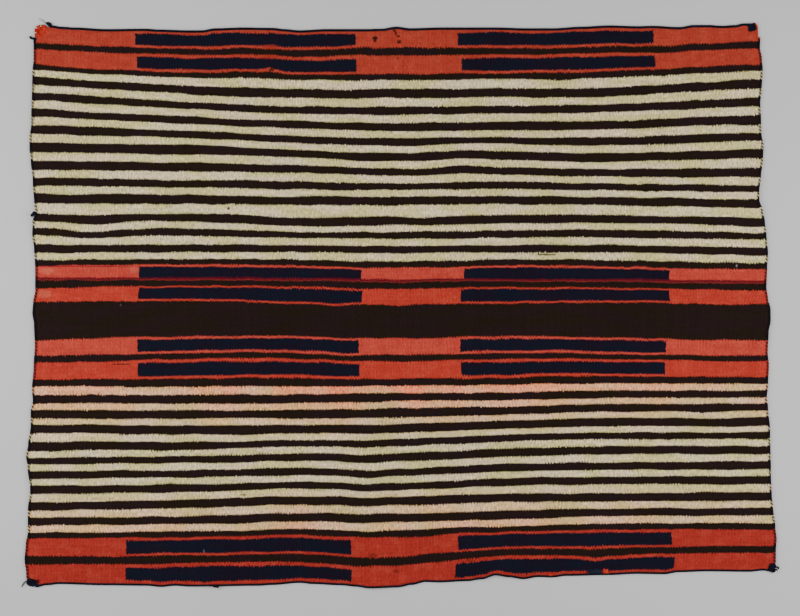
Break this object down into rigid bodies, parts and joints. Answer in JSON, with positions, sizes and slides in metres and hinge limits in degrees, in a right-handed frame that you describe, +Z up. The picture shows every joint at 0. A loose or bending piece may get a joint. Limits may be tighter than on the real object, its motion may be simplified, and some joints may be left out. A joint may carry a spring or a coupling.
{
  "type": "wearable blanket",
  "caption": "Banded wool wearable blanket lying flat, one weft-faced sheet with twined cords bound along its edges and knotted at the corners.",
  "frame": {"origin": "on the resting surface under the middle of the blanket", "axes": "+X along the long side, to the right of the face; +Y towards the top end; +Z up, out of the face"},
  "size_m": [1.8497, 1.3813, 0.0143],
  "materials": {
    "banded_wool": "handwoven wool, weft-faced, in bands of brown, cream, red and indigo",
    "indigo_wool": "plied and twined wool yarn, dark indigo"
  },
  "bodies": {
    "root": {"woven_cloth": "banded_wool", "end_cord_top": "indigo_wool", "end_cord_bottom": "indigo_wool", "side_cord_left": "indigo_wool", "side_cord_right": "indigo_wool", "knot_top_left": "indigo_wool", "knot_top_right": "indigo_wool", "knot_bottom_left": "indigo_wool", "knot_bottom_right": "indigo_wool", "knot_left_edge": "indigo_wool", "knot_bottom_edge": "indigo_wool"}
  },
  "joints": []
}
